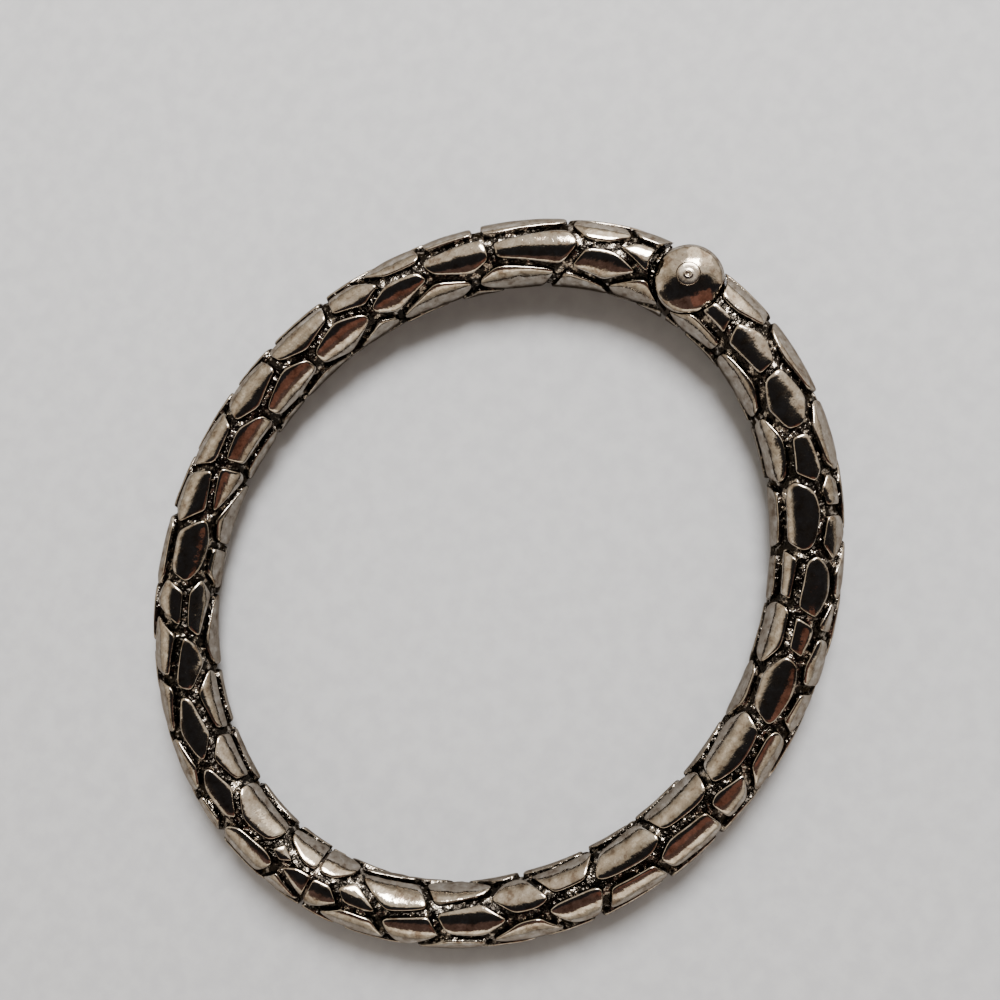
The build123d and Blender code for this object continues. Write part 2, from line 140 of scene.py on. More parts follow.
# Each half at the knuckle: its side of the pin along the travel, the radius of its round cup,
# and how steeply its cut runs off towards the outside and towards the wrist, in degrees
LEFT = {"side": 1, "cup": 3.93, "outer": 50.0, "inner": 5.0}
RIGHT = {"side": -1, "cup": 3.78, "outer": 27.0, "inner": 1.5}

# Charted scales: where each starts and ends, in hundredths of the way round,
# and the middle angle round the section, in degrees (0 outer side, 90 top, 180 inner side)
SCALE_CHART = (
    (2.2, 3.4, 80), (1.4, 3.7, 151), (3.0, 5.7, 115), (3.4, 5.8, 49), (2.0, 3.4, 35),
    (4.1, 7.3, 172), (5.9, 9.9, 88), (6.8, 10.9, 153), (6.6, 10.5, 33), (10.2, 13.2, 93),
    (10.9, 13.4, 35), (11.4, 15.4, 157), (13.6, 16.6, 115), (13.4, 16.4, 43), (16.0, 17.9, 160),
    (15.9, 18.4, 75), (17.1, 20.4, 126), (18.9, 22.0, 71), (20.9, 24.2, 127), (22.5, 25.5, 78),
    (24.7, 27.9, 129), (25.9, 28.5, 64), (27.4, 30.2, 134), (28.4, 31.5, 78), (25.1, 27.8, 171),
    (28.6, 32.1, 170), (30.7, 34.2, 99), (31.6, 33.9, 40), (32.1, 34.6, 166), (33.9, 37.1, 139),
    (34.2, 36.6, 80), (34.6, 38.6, 179), (35.8, 38.9, 63), (37.1, 39.8, 110), (38.9, 42.1, 145),
    (39.9, 43.2, 97), (38.9, 41.4, 48), (41.7, 44.4, 47), (42.2, 45.1, 137), (43.7, 46.5, 92),
    (44.7, 46.1, 48), (45.2, 48.9, 133), (46.4, 49.4, 63), (49.1, 53.2, 148), (49.2, 50.0, 116),
    (50.0, 52.8, 86), (49.2, 50.6, 54), (52.6, 55.1, 110), (53.6, 57.5, 134), (52.6, 55.1, 54),
    (55.2, 57.9, 73), (54.2, 56.7, 168), (56.7, 60.4, 153), (57.9, 61.2, 90), (57.8, 60.1, 33),
    (60.7, 63.3, 123), (60.4, 63.4, 46), (62.9, 66.1, 145), (63.6, 65.8, 69), (66.2, 69.7, 120),
    (66.1, 69.0, 54), (69.0, 72.2, 64), (69.5, 73.1, 137), (72.6, 74.4, 66), (73.5, 77.0, 124),
    (74.4, 76.9, 47), (77.4, 80.4, 100), (77.1, 79.0, 36), (76.8, 79.6, 168), (79.4, 81.6, 40),
    (79.7, 82.9, 141), (80.7, 82.1, 89), (81.9, 82.9, 40), (82.5, 85.2, 79), (83.3, 85.1, 126),
    (83.1, 85.1, 162), (83.3, 85.5, 23), (85.1, 87.2, 50), (85.5, 88.7, 104), (87.6, 88.8, 51),
    (85.6, 88.8, 168), (88.8, 91.1, 84), (89.0, 92.1, 144), (89.0, 92.4, 34), (91.1, 94.4, 87),
    (92.6, 96.2, 31), (94.2, 97.1, 96), (92.7, 96.7, 158), (96.2, 99.4, 46), (97.1, 98.9, 106),
    (96.7, 99.7, 150),
)

# Rows of the side that lies down: angle, first start and mean length in hundredths of the way
# round. Lengths and angles sway with sines of step and row, in radians per step and row
REST_ANGLE = 270
LOWER_ROWS = ((198, 0.6, 3.3), (226, 2.4, 3.5), (270, 1.0, 3.6), (314, 2.7, 3.4), (358, 1.3, 3.1))
LENGTH_VARIATION = 0.22
LENGTH_SWAY = (2.4, 1.7)
ANGLE_VARIATION = 5.0
ANGLE_SWAY = 1.9
FILL_SHARE = 0.46
ROOM_ALONG = 1.15
ROOM_ACROSS = 41.0

# Rings of one scale from its foot to its top: inset from the middle of the groove,
# depth below the tops and how polished it is, then rings at shares of the last one. A wall
# that is less polished is also darkened, a painted shade
SCALE_RINGS = (
    (0.17, 0.70, 0.0), (0.225, 0.48, 0.0), (0.275, 0.275, 0.1), (0.315, 0.145, 0.6),
    (0.35, 0.080, 1.0), (0.41, 0.042, 1.0), (0.52, 0.016, 1.0), (0.76, 0.0, 1.0),
)
TOP_SHARES = (0.7, 0.36)
RAYS = 56
CORNER_POWER = 10.0

# Unevenness of the scales: random insets, sinking and tilt. Under the first of two sizes a small
# scale's random insets shrink, and its grooves narrow, down to the share that stands second.
# Under the full size it sinks by a share of the groove's depth
UNEVEN_INSET = 0.22
UNEVEN_SIZES = (1.3, 0.2)
NARROW_SIZES = (1.1, 0.4)
FULL_SIZE = 0.75
SMALL_SINK = 0.3
RANDOM_SINK = 0.03
TILT = 0.016
SCALE_SEED = 11

# Cells: neighbours asked, least area, step of the grid, passes that drop small cells, and the
# share of the nearest side's closeness from which a side counts
NEIGHBOURS = 40
LEAST_AREA = 1.4
CELL_STEP = 0.3
CELL_PASSES = 3
SIDE_SHARE = 0.999

# Rule that finds the ends of a half along a ray: its length, its marks, the least reach and the
# reach where there is no end
RULE_LENGTH = 12.0
RULE_MARKS = 121
LEAST_REACH = 0.15
NO_END = 1e3

# Slow waves of the polished metal: share, radians per millimetre along and round, and start
WAVE_HEIGHT = 0.006
WAVES = ((1, 1.9, 0.8, 0.0), (1, 1.1, -2.1, 1.0), (0.7, 3.1, 2.3, 2.0), (0.5, 2.2, -4.4, 0.5))

# Painted shade of the wrist side, drawn less polished so that the metal is darker there:
# where it begins to fade, over which span, and by how much
WRIST_SHADE_START = 0.62
WRIST_SHADE_SPAN = 0.3
WRIST_SHADE_LOSS = 0.32

# Cast ground of the grooves: its mesh step, and the height and the seed of its grain
GROUND_STEP = 0.28
GRAIN_HEIGHT = 0.085
GRAIN_SEED = 5

# Points in the tables of the oval and of a lap round the section, steps that settle a half's
# start, and the angle in degrees over which an edge is sharp
OVAL_POINTS = 2881
ARC_POINTS = 721
SETTLING_STEPS = 6
SHARP_ANGLE = 48

TURNS = np.linspace(0.0, 2 * math.pi, OVAL_POINTS)
OVAL = 1 + SKEW * np.cos(3 * TURNS) + SQUARENESS * np.cos(4 * TURNS)
OVAL_X = HALF_LENGTH * OVAL * np.cos(TURNS)
OVAL_Y = HALF_WIDTH * OVAL * np.sin(TURNS)
RUN = np.concatenate([[0.0], np.cumsum(np.hypot(np.diff(OVAL_X), np.diff(OVAL_Y)))])
GIRTH = float(RUN[-1])
LAP = 2 * math.pi * TUBE_RADIUS


def station(share):
    """Distance along the centre line, from hundredths of the way round."""
    return share * GIRTH / 100


def section_at(along):
    """Centre (x, y), unit travel and tube radius at distances along the oval's centre line.

    The centre is read from the oval by the distance run, the travel is the difference of two near
    spots, and the radius swells once and twice round the oval with the cosine of the turn."""
    turn = np.interp(np.mod(along, GIRTH), RUN, TURNS)
    around = np.stack([turn, turn + TURNS[1], turn - TURNS[1]])
    spots = np.stack([np.interp(around, TURNS, OVAL_X, period=2 * math.pi),
                      np.interp(around, TURNS, OVAL_Y, period=2 * math.pi)], -1)
    travel = spots[1] - spots[2]
    travel = travel / np.linalg.norm(travel, axis=-1, keepdims=True)
    once = SWELL_ONCE[0] * np.cos(turn - math.radians(SWELL_ONCE[1]))
    twice = SWELL_TWICE[0] * np.cos(2 * (turn - math.radians(SWELL_TWICE[1])))
    return spots[0], travel, TUBE_RADIUS * (1 + once + twice)


def place(along, arc, depth):
    """Points on the cast surface: the section's centre plus (radius less depth) times the direction
    at the arc's angle round the section, with everything under the floor lifted onto it."""
    angle = arc / TUBE_RADIUS
    centre, travel, radius = section_at(along)
    reach = radius - depth
    outward = reach * np.cos(angle)
    height = np.maximum(radius + reach * np.sin(angle) - REST_FLAT_DEPTH, 0.0)
    return np.stack([centre[..., 0] + outward * travel[..., 1],
                     centre[..., 1] - outward * travel[..., 0], height], -1)


HINGE_CENTRE, PIN_AHEAD, HINGE_SECTION = section_at(station(HINGE_AT))
PIN_OUTWARD = np.array([PIN_AHEAD[1], -PIN_AHEAD[0]])
PIN_SPOT = HINGE_CENTRE + KNUCKLE_SHIFT * PIN_OUTWARD
MID_HEIGHT = float(HINGE_SECTION - REST_FLAT_DEPTH)
KNUCKLE_RISE = MID_HEIGHT - PIN_ABOVE_FLOOR - PIN_HEAD_PROUD
OVAL_SHIFT = np.append(np.array(frame["joints"][0]["pos_m"][:2]) * 1000 - PIN_SPOT, 0.0)


def by_pin(outward, ahead, height):
    """Points from the pin: towards the outside, along the travel, and above mid height."""
    flat = PIN_SPOT + outward[..., None] * PIN_OUTWARD + ahead[..., None] * PIN_AHEAD
    return np.concatenate([flat, MID_HEIGHT + height[..., None]], -1)


def knuckle_line(outward, half):
    """How far from the pin a half begins: on its round cup, the root of cup squared less outward
    squared, or on the straight cheek of its horn, whichever is further."""
    cup = np.sqrt(np.maximum(half["cup"] ** 2 - outward ** 2, 0.0))
    lean = np.where(outward > 0, math.tan(math.radians(half["outer"])),
                    math.tan(math.radians(half["inner"])))
    return np.maximum(cup, np.abs(outward) * lean)


def clear_of_knuckle(points, half):
    """Points near the pin, pushed along the travel until none lies inside the half's cup."""
    from_pin = points[..., :2] - PIN_SPOT
    outward = from_pin @ PIN_OUTWARD
    ahead = half["side"] * (from_pin @ PIN_AHEAD)
    near = (np.abs(outward) < CUT_REACH) & (np.abs(ahead) < CUT_REACH)
    push = np.where(near, np.maximum(knuckle_line(outward, half) - ahead, 0.0), 0.0)
    points[..., :2] += (half["side"] * push)[..., None] * PIN_AHEAD
    return points


def hinge_start(arc, depth, half):
    """Station where a half begins at the knuckle, settled in a few steps of the same rule: the
    station moves by what the placed point still lacks to the knuckle line."""
    along = np.full_like(arc, station(HINGE_AT)) + half["side"] * half["cup"]
    for _ in range(SETTLING_STEPS):
        from_pin = place(along, arc, depth)[..., :2] - PIN_SPOT
        lack = knuckle_line(from_pin @ PIN_OUTWARD, half) - half["side"] * (from_pin @ PIN_AHEAD)
        along = along + half["side"] * lack
    return along


ARC_TABLE = np.linspace(0.0, LAP, ARC_POINTS)


def half_ends(half, depth):
    """Tables of the stations where a half starts and finishes, for arcs round the section."""
    if half is LEFT:
        start = hinge_start(ARC_TABLE, depth, half)
        finish = np.full_like(ARC_TABLE, station(CLASP_AT) - SEAM_GAP / 2)
    else:
        start = np.full_like(ARC_TABLE, station(CLASP_AT) + SEAM_GAP / 2)
        finish = hinge_start(ARC_TABLE, depth, half) + GIRTH
    return start, finish


def all_scales():
    """One row for each scale: middle distance, middle arc and half length.

    Charted scales come first. The rows of the side that lies down follow at even steps that sway
    with a sine, wherever no charted scale is near."""
    charted = [(station((start + end) / 2), angle, station((end - start) / 2))
               for start, end, angle in SCALE_CHART]
    found = list(charted)
    for row, (angle, start, length) in enumerate(LOWER_ROWS):
        count = round(100 / length)
        for step in range(count):
            sway = LENGTH_VARIATION * math.sin(LENGTH_SWAY[0] * step + LENGTH_SWAY[1] * row)
            tilt = (0.0 if angle == REST_ANGLE
                    else ANGLE_VARIATION * math.sin(ANGLE_SWAY * step + row))
            along = station(start + (step + 0.5 * sway) * 100 / count)
            half = station(FILL_SHARE * (1 + 0.5 * sway) * 100 / count)
            if not any(abs((along - other + GIRTH / 2) % GIRTH - GIRTH / 2)
                       < ROOM_ALONG * max(half, size)
                       and abs((angle + tilt - turn + 180) % 360 - 180) < ROOM_ACROSS
                       for other, turn, size in charted):
                found.append((along, (angle + tilt) % 360, half))
    rows = np.array(found)
    return np.stack([rows[:, 0], TUBE_RADIUS * np.radians(rows[:, 1]), rows[:, 2]], -1)


def scale_cells(half):
    """Middles of the cells of one half and the lines that part each from its neighbours.

    A point belongs to the scale with the least (distance squared less half length squared), where
    distances across count STRETCH times. The middle is the mean of a cell's grid points. A line is
    its unit normal and its distance from the middle. Cells smaller than LEAST_AREA, cut off by an
    end of the half, are left to their neighbours."""
    laps = np.array([-1.0, 0.0, 1.0])[:, None, None] * (GIRTH, 0.0, 0.0)
    scales = (all_scales() + laps).reshape(-1, 3)
    start, finish = half_ends(half, 0.0)
    reach = 2 * np.max(scales[:, 2])
    scales = scales[(scales[:, 0] > start.min() - reach) & (scales[:, 0] < finish.max() + reach)]
    along, arc = np.meshgrid(np.arange(start.min(), finish.max(), CELL_STEP),
                             np.arange(-LAP / 2, 1.5 * LAP, CELL_STEP), indexing="ij")
    kept = ((along > np.interp(arc, ARC_TABLE, start, period=LAP))
            & (along < np.interp(arc, ARC_TABLE, finish, period=LAP)))
    along, arc = along[kept], arc[kept]
    for _ in range(CELL_PASSES):
        copies = np.concatenate([scales, scales - (0.0, LAP, 0.0), scales + (0.0, LAP, 0.0)])
        spots = copies[:, :2] * (1.0, STRETCH)
        nearest = np.argmin(((along[:, None] - spots[:, 0]) ** 2
                             + (STRETCH * arc[:, None] - spots[:, 1]) ** 2
                             - copies[:, 2] ** 2), axis=1)
        count = np.bincount(nearest, minlength=len(copies))
        cells = np.flatnonzero(count[:len(scales)] * CELL_STEP ** 2 > LEAST_AREA)
        if len(cells) == len(scales):
            break
        scales = scales[cells]
    middle = np.stack([np.bincount(nearest, along, len(copies))[cells],
                       np.bincount(nearest, arc, len(copies))[cells]], -1) / count[cells, None]
    offset = spots[None] - spots[cells, None]
    squares = (offset ** 2).sum(-1)
    order = np.argsort(squares, axis=1)[:, 1:NEIGHBOURS]
    offset = np.take_along_axis(offset, order[..., None], axis=1)
    limit = (np.take_along_axis(squares, order, axis=1) + copies[cells, 2][:, None] ** 2
             - copies[order, 2] ** 2) / 2 + (offset * spots[cells, None]).sum(-1)
    normal = offset * (1.0, STRETCH)
    length = np.linalg.norm(normal, axis=-1)
    normal = normal / length[..., None]
    return middle, normal, limit / length - (normal * middle[:, None]).sum(-1)


def reach_to_end(middle, rays, inset, half):
    """How far each ray runs from its middle to the ends of the half, less an inset: the first
    place on a fine rule along the ray where the nearer end is closer than the inset."""
    start, finish = half_ends(half, 0.0)
    rule = np.linspace(0.0, RULE_LENGTH, RULE_MARKS)
    along = middle[:, None, None, 0] + rays[..., None, 0] * rule
    arc = middle[:, None, None, 1] + rays[..., None, 1] * rule
    room = np.minimum(along - np.interp(arc, ARC_TABLE, start, period=LAP),
                      np.interp(arc, ARC_TABLE, finish, period=LAP) - along) - inset
    beyond = room < 0
    first = np.argmax(beyond, axis=-1)[..., None]
    before = np.maximum(first - 1, 0)
    here = np.take_along_axis(room, before, -1)[..., 0]
    there = np.take_along_axis(room, first, -1)[..., 0]
    share = np.clip(here / np.maximum(here - there, 1e-6), 0.0, 1.0)
    reach = (before[..., 0] + share) * rule[1]
    return np.where(beyond.any(-1), np.maximum(reach, LEAST_REACH), NO_END)


def crossing_sines(first, second, table):
    """Sum of sines over two directions: a table's row gives a sine's share, its radians per
    millimetre in the first and in the second direction and its start."""
    return sum(share * np.sin(one * first + two * second + start)
               for share, one, two, start in table)


def waves(along, arc):
    """Slow unevenness of the polished metal, from sines that cross at odd angles."""
    return WAVE_HEIGHT * crossing_sines(along, arc, WAVES)


def polish_less_wrist_shade(arc):
    """Share of the polish that reaches an arc: full outside and on top, less on the wrist side,
    where the cosine of the angle from the inner side nears one. The loss is painted shade: it
    darkens the wrist side."""
    inner = np.clip((-np.cos(arc / TUBE_RADIUS) - WRIST_SHADE_START) / WRIST_SHADE_SPAN, 0.0, 1.0)
    return 1 - WRIST_SHADE_LOSS * inner ** 2 * (3 - 2 * inner)


def raised_scales(half):
    """Every scale of one half as a closed raised island: rings run from its foot in the ground over
    the wall and the rounded rim to its middle.

    A ring's reach along a ray is one over the CORNER_POWER-norm of ray times normal over the room
    left to each line, so straight sides meet in rounded corners. Small scales have narrower
    grooves and lie a little lower."""
    middle, normal, room = scale_cells(half)
    cardinal = np.array([(1.0, 0.0), (-1.0, 0.0), (0.0, 1.0), (0.0, -1.0)])
    across = np.einsum("kpd,rd->krp", normal, cardinal) / room[:, None]
    ends = 1 / reach_to_end(middle, np.broadcast_to(cardinal, (len(middle), 4, 2)), 0.0, half)
    spans = 1 / np.maximum(across.max(-1), ends)
    long, wide = spans[:, :2].mean(-1), spans[:, 2:].mean(-1)
    turn = 2 * math.pi * np.arange(RAYS) / RAYS
    rays = np.stack([long[:, None] * np.cos(turn), wide[:, None] * np.sin(turn)], -1)
    rays = rays / np.linalg.norm(rays, axis=-1, keepdims=True)
    facing = np.maximum(np.einsum("kpd,krd->krp", normal, rays), 0.0)
    nearest = facing / room[:, None]
    sides = (nearest >= SIDE_SHARE * nearest.max(-1, keepdims=True)).any(1)
    least = np.where(sides, room, np.inf).min(-1)
    rise = np.minimum(1.0, least / FULL_SIZE)
    chance = np.random.default_rng(SCALE_SEED)
    wider = (chance.uniform(0.0, UNEVEN_INSET, room.shape)
             * np.clip(least / UNEVEN_SIZES[0], UNEVEN_SIZES[1], 1.0)[:, None])
    reaches = []
    for inset, _, _ in SCALE_RINGS:
        left = room - (inset + wider) * np.clip(room / NARROW_SIZES[0], NARROW_SIZES[1], 1.0)
        end_inset = inset * END_INSET / GROOVE_HALF_WIDTH
        gauge = ((sides[:, None] * (facing / left[:, None]) ** CORNER_POWER).sum(-1)
                 + reach_to_end(middle, rays, end_inset, half) ** -CORNER_POWER)
        reaches.append(gauge ** (-1 / CORNER_POWER))
    reaches += [share * reaches[-1] for share in TOP_SHARES]
    depth = np.array([ring[1] for ring in SCALE_RINGS] + [0.0] * len(TOP_SHARES))
    polish_and_shade = np.array([ring[2] for ring in SCALE_RINGS] + [1.0] * len(TOP_SHARES))
    steps = np.stack(reaches, 1)[..., None] * rays[:, None]
    flat = middle[:, None, None] + steps
    tilt = chance.normal(0.0, TILT, (len(middle), 1, 1, 2))
    drop = (GROOVE_DEPTH * SMALL_SINK * (1 - rise)
            + chance.uniform(0.0, RANDOM_SINK, len(middle)))
    lean = (steps * tilt).sum(-1) + waves(flat[..., 0], flat[..., 1])
    low = depth[:, None] + polish_and_shade[:, None] * (lean + drop[:, None, None])
    rings = clear_of_knuckle(place(flat[..., 0], flat[..., 1], low), half)
    foot = place(middle[:, 0], middle[:, 1], np.full(len(middle), depth[0]))
    peak = place(middle[:, 0], middle[:, 1], drop + waves(middle[:, 0], middle[:, 1]))
    # The wrist side is drawn less polished, a painted shade
    return closed_skin(rings, foot, peak, polish_and_shade[:, None] * polish_less_wrist_shade(flat[..., 1]))


def closed_skin(rings, first_pole, last_pole, relief):
    """Closed skins: each ring of points is joined to the next, and the first and the last are
    gathered in a pole. Rings are (skins, rings, points, 3)."""
    skins, rows, columns, _ = rings.shape
    here = np.arange(rows * columns).reshape(rows, columns)
    there = np.roll(here, -1, axis=1)
    quads = np.stack([here[:-1], there[:-1], there[1:], here[1:]], -1).reshape(-1, 4)
    poles = np.full(columns, rows * columns)
    fans = np.concatenate([np.stack([there[0], here[0], poles], -1),
                           np.stack([here[-1], there[-1], poles + 1], -1)])
    points = np.concatenate([rings.reshape(skins, -1, 3), first_pole.reshape(skins, 1, 3),
                             last_pole.reshape(skins, 1, 3)], 1)
    ends = relief.reshape(skins, -1)[:, [0, -1]]
    shift = (np.arange(skins) * points.shape[1])[:, None, None]
    return (points.reshape(-1, 3), (quads + shift).reshape(-1, 4), (fans + shift).reshape(-1, 3),
            np.concatenate([relief.reshape(skins, -1), ends], 1).ravel())


def ring_skin(loops, relief):
    """Closed skin without ends: each loop is joined to the next and the last to the first."""
    rows, columns, _ = loops.shape
    here = np.arange(rows * columns).reshape(rows, columns)
    below, there = np.roll(here, -1, axis=0), np.roll(here, -1, axis=1)
    quads = np.stack([here, there, np.roll(below, -1, axis=1), below], -1).reshape(-1, 4)
    return loops.reshape(-1, 3), quads, np.zeros((0, 3), int), np.full(rows * columns, relief)


def round_pin(radius, angle, height):
    """Points round the pin: 0 degrees points outward and 90 along the travel of the oval."""
    return by_pin(radius * np.cos(np.radians(angle)), radius * np.sin(np.radians(angle)), height)


def eased(profile, ease):
    """A closed profile whose corners are each cut back by the ease on both sides."""
    back = np.roll(profile, 1, axis=0) - profile
    ahead = np.roll(profile, -1, axis=0) - profile
    back_length = np.linalg.norm(back, axis=1, keepdims=True)
    ahead_length = np.linalg.norm(ahead, axis=1, keepdims=True)
    before = profile + back / back_length * np.minimum(ease, back_length / 3)
    after = profile + ahead / ahead_length * np.minimum(ease, ahead_length / 3)
    corner = (before + after + 2 * profile) / 4
    return np.stack([before, corner, after], 1).reshape(-1, 2)


def turned(profile, columns, relief, spot=round_pin):
    """Closed profile of (radius, height) carried once round the pin, where spot places a point."""
    turn = 360 * np.arange(columns) / columns
    radius = np.repeat(profile[:, :1], columns, axis=1)
    height = np.repeat(profile[:, 1:], columns, axis=1)
    return ring_skin(spot(radius, turn[None], height), relief)


def dome_profile():
    """Outline of the knuckle from its wall over its edge to the seat of the rivet head: a shallow
    cap that sinks by the radius squared over twice DOME_BALL, times an edge that closes at the full
    radius as the DOME_EDGE root of one less (radius over full radius) to the DOME_EDGE. Its points
    crowd towards the edge by the power DOME_CROWDING."""
    seat = PIN_HEAD_RADIUS + PIN_CLEARANCE
    share = np.linspace(0.0, 1.0, DOME_POINTS) ** DOME_CROWDING
    radius = DOME_RADIUS - (DOME_RADIUS - seat) * share
    cap = KNUCKLE_RISE + (seat ** 2 - radius ** 2) / (2 * DOME_BALL)
    edge = (1 - (radius / DOME_RADIUS) ** DOME_EDGE) ** (1 / DOME_EDGE)
    return np.stack([radius, np.maximum(cap * edge, SLOT_HALF)], -1)


def finished_top(radius, angle, height):
    """Points of the knuckle as filed by hand: round the pin inside, its own middle outside, and its
    top leaning a little with a few crossing sines of unevenness."""
    widen = np.clip((radius - PIN_ZONE) / (DOME_RADIUS - PIN_ZONE), 0.0, 1.0)
    outward = radius * np.cos(np.radians(angle)) + widen * DOME_OFFSET[0]
    ahead = radius * np.sin(np.radians(angle)) + widen * DOME_OFFSET[1]
    share = np.clip((height - SLOT_HALF) / (KNUCKLE_RISE - SLOT_HALF), 0.0, 1.0)
    uneven = crossing_sines(outward, ahead, DOME_WAVES)
    fall = DOME_LEAN[0] * outward + DOME_LEAN[1] * ahead + DOME_WAVE * widen * uneven
    return by_pin(outward, ahead, height - share * fall)


SLOT_HALF = TONGUE_THICKNESS / 2 + TONGUE_CLEARANCE
SLOT_RADIUS = TONGUE_RADIUS + TONGUE_CLEARANCE
BORE_RADIUS = PIN_RADIUS + PIN_CLEARANCE


def knuckle_cheek(side):
    """Upper (1) or lower (-1) cheek of the knuckle: the dome's profile with the seat of the rivet
    head, the bore and the flat of the slot, carried round the pin."""
    seat_radius = PIN_HEAD_RADIUS + SEAT_CLEARANCE
    seat_floor = KNUCKLE_RISE - PIN_HEAD_THICKNESS + PIN_HEAD_PROUD - PIN_CLEARANCE
    inside = np.array([(seat_radius, KNUCKLE_RISE - SEAT_LIP), (seat_radius, seat_floor),
                       (BORE_RADIUS, seat_floor), (BORE_RADIUS, SLOT_HALF)])
    profile = np.concatenate([dome_profile(), inside])
    return turned(profile * (1, side), KNUCKLE_COLUMNS, 1.0, finished_top)


def knuckle_back():
    """Wall behind the slot: from the slot's round out to the dome, over the angles the tongue
    never reaches, closed at both ends."""
    first = 180 - math.degrees(math.acos(TONGUE_TO_WRIST / SLOT_RADIUS)) + SLOT_MARGIN
    last = 360 + math.degrees(math.acos(TONGUE_TO_OUTSIDE / SLOT_RADIUS)) - OPEN_ANGLE - SLOT_MARGIN
    height = np.linspace(-SLOT_HALF, SLOT_HALF, BACK_LEVELS)
    outside = np.stack([np.full_like(height, DOME_RADIUS), height], -1)
    loop = np.concatenate([outside, [(SLOT_RADIUS, SLOT_HALF), (SLOT_RADIUS, -SLOT_HALF)]])
    turn = np.linspace(first, last, BACK_COLUMNS)[:, None]
    rings = finished_top(loop[None, :, 0] + 0 * turn, turn, loop[None, :, 1] + 0 * turn)
    relief = np.ones((1, BACK_COLUMNS, len(loop)))
    return closed_skin(rings[None], rings[0].mean(0), rings[-1].mean(0), relief)


def hinge_tongue():
    """Flat eye round the pin, a turned flat ring, and the arm that carries it, a rounded bar."""
    half = TONGUE_THICKNESS / 2
    eye = np.array([(BORE_RADIUS, -half), (TONGUE_RADIUS, -half),
                    (TONGUE_RADIUS, half), (BORE_RADIUS, half)])
    section = eased(np.array([(-TONGUE_TO_WRIST, -half), (TONGUE_TO_OUTSIDE, -half),
                              (TONGUE_TO_OUTSIDE, half), (-TONGUE_TO_WRIST, half)]), TONGUE_EASE)
    ahead = np.array(TONGUE_ARM)[:, None]
    rings = by_pin(section[None, :, 0] + 0 * ahead, ahead + 0 * section[None, :, 0],
                   section[None, :, 1] + 0 * ahead)
    relief = np.full((1, len(TONGUE_ARM), len(section)), TONGUE_POLISH)
    arm = closed_skin(rings[None], rings[0].mean(0), rings[-1].mean(0), relief)
    return [turned(eased(eye, EYE_EASE), KNUCKLE_COLUMNS, TONGUE_POLISH), arm]


def hinge_face(rim, half):
    """Rings from the rim of a half's ground over its cupped end face to the core, and the pole.

    Each ring keeps the shape of the section between rim and core, and its distance ahead of the
    pin is the knuckle line of its outward place. The left core ends in a cupped face, the right
    one runs into the knuckle beside the slot."""
    from_pin = rim[:, :2] - PIN_SPOT
    outward, height = from_pin @ PIN_OUTWARD, rim[:, 2] - MID_HEIGHT
    turn = np.arctan2(height, outward + KNUCKLE_SHIFT)
    core_out, core_up = CORE_RADIUS * np.cos(turn) - KNUCKLE_SHIFT, CORE_RADIUS * np.sin(turn)
    rings = []
    for share in FACE_SHARES:
        out = outward + share * (core_out - outward)
        up = height + share * (core_up - height)
        rings.append(by_pin(out, half["side"] * knuckle_line(out, half), up))
    if half is LEFT:
        face = KNUCKLE_RADIUS + CORE_GAP
        for share in CUP_SHARES:
            out, up = core_out * share, core_up * share
            rings.append(by_pin(out, np.sqrt(face ** 2 - out ** 2), up))
        return np.stack(rings), by_pin(*np.array([0.0, face, 0.0]))
    behind = SLOT_RADIUS + CORE_BEHIND_SLOT
    deep = np.where(np.abs(core_up) > SLOT_HALF, CORE_IN_CHEEKS, behind)
    rings.append(by_pin(core_out, -np.sqrt(np.maximum(deep ** 2 - core_out ** 2, 0.0)), core_up))
    up = np.clip(core_up, -SLOT_HALF - CORE_OVER_SLOT, SLOT_HALF + CORE_OVER_SLOT)
    ahead = -np.sqrt(behind ** 2 - np.minimum(core_out ** 2, ROUND_LIMIT))
    rings.append(by_pin(core_out, ahead, up))
    return np.stack(rings), by_pin(*np.array([0.0, -behind, 0.0]))


def clasp_face(along, inward, hole, arc, depth):
    """Rings from the rim of a half's ground over its clasp end, the recess of the clasp's plate and
    the round socket.

    Every ring is a circle round the section's centre: at the rim, round the recess, at the mouth
    and in the hole."""
    centre, travel, radius = section_at(np.full_like(arc, along))
    angle = arc / TUBE_RADIUS
    plate, recess = PLATE_RECESS
    bore, deep = hole
    radii = [(radius - depth) * SEAM_RIM_SHARE] + [
        np.full_like(arc, reach) for reach in (plate + PLATE_EASE, plate, bore + HOLE_EASE[0],
                                               bore, bore, bore / 2)]
    shifts = (0.0, 0.0, recess, recess, recess + HOLE_EASE[1], recess + deep, recess + deep)
    rings = [np.concatenate([
        centre + (reach * np.cos(angle))[:, None] * np.stack([travel[:, 1], -travel[:, 0]], -1)
        + inward * shift * travel,
        (radius - REST_FLAT_DEPTH + reach * np.sin(angle))[:, None]], -1)
        for reach, shift in zip(radii, shifts)]
    rings = np.stack(rings)
    return rings, rings[-1].mean(0)


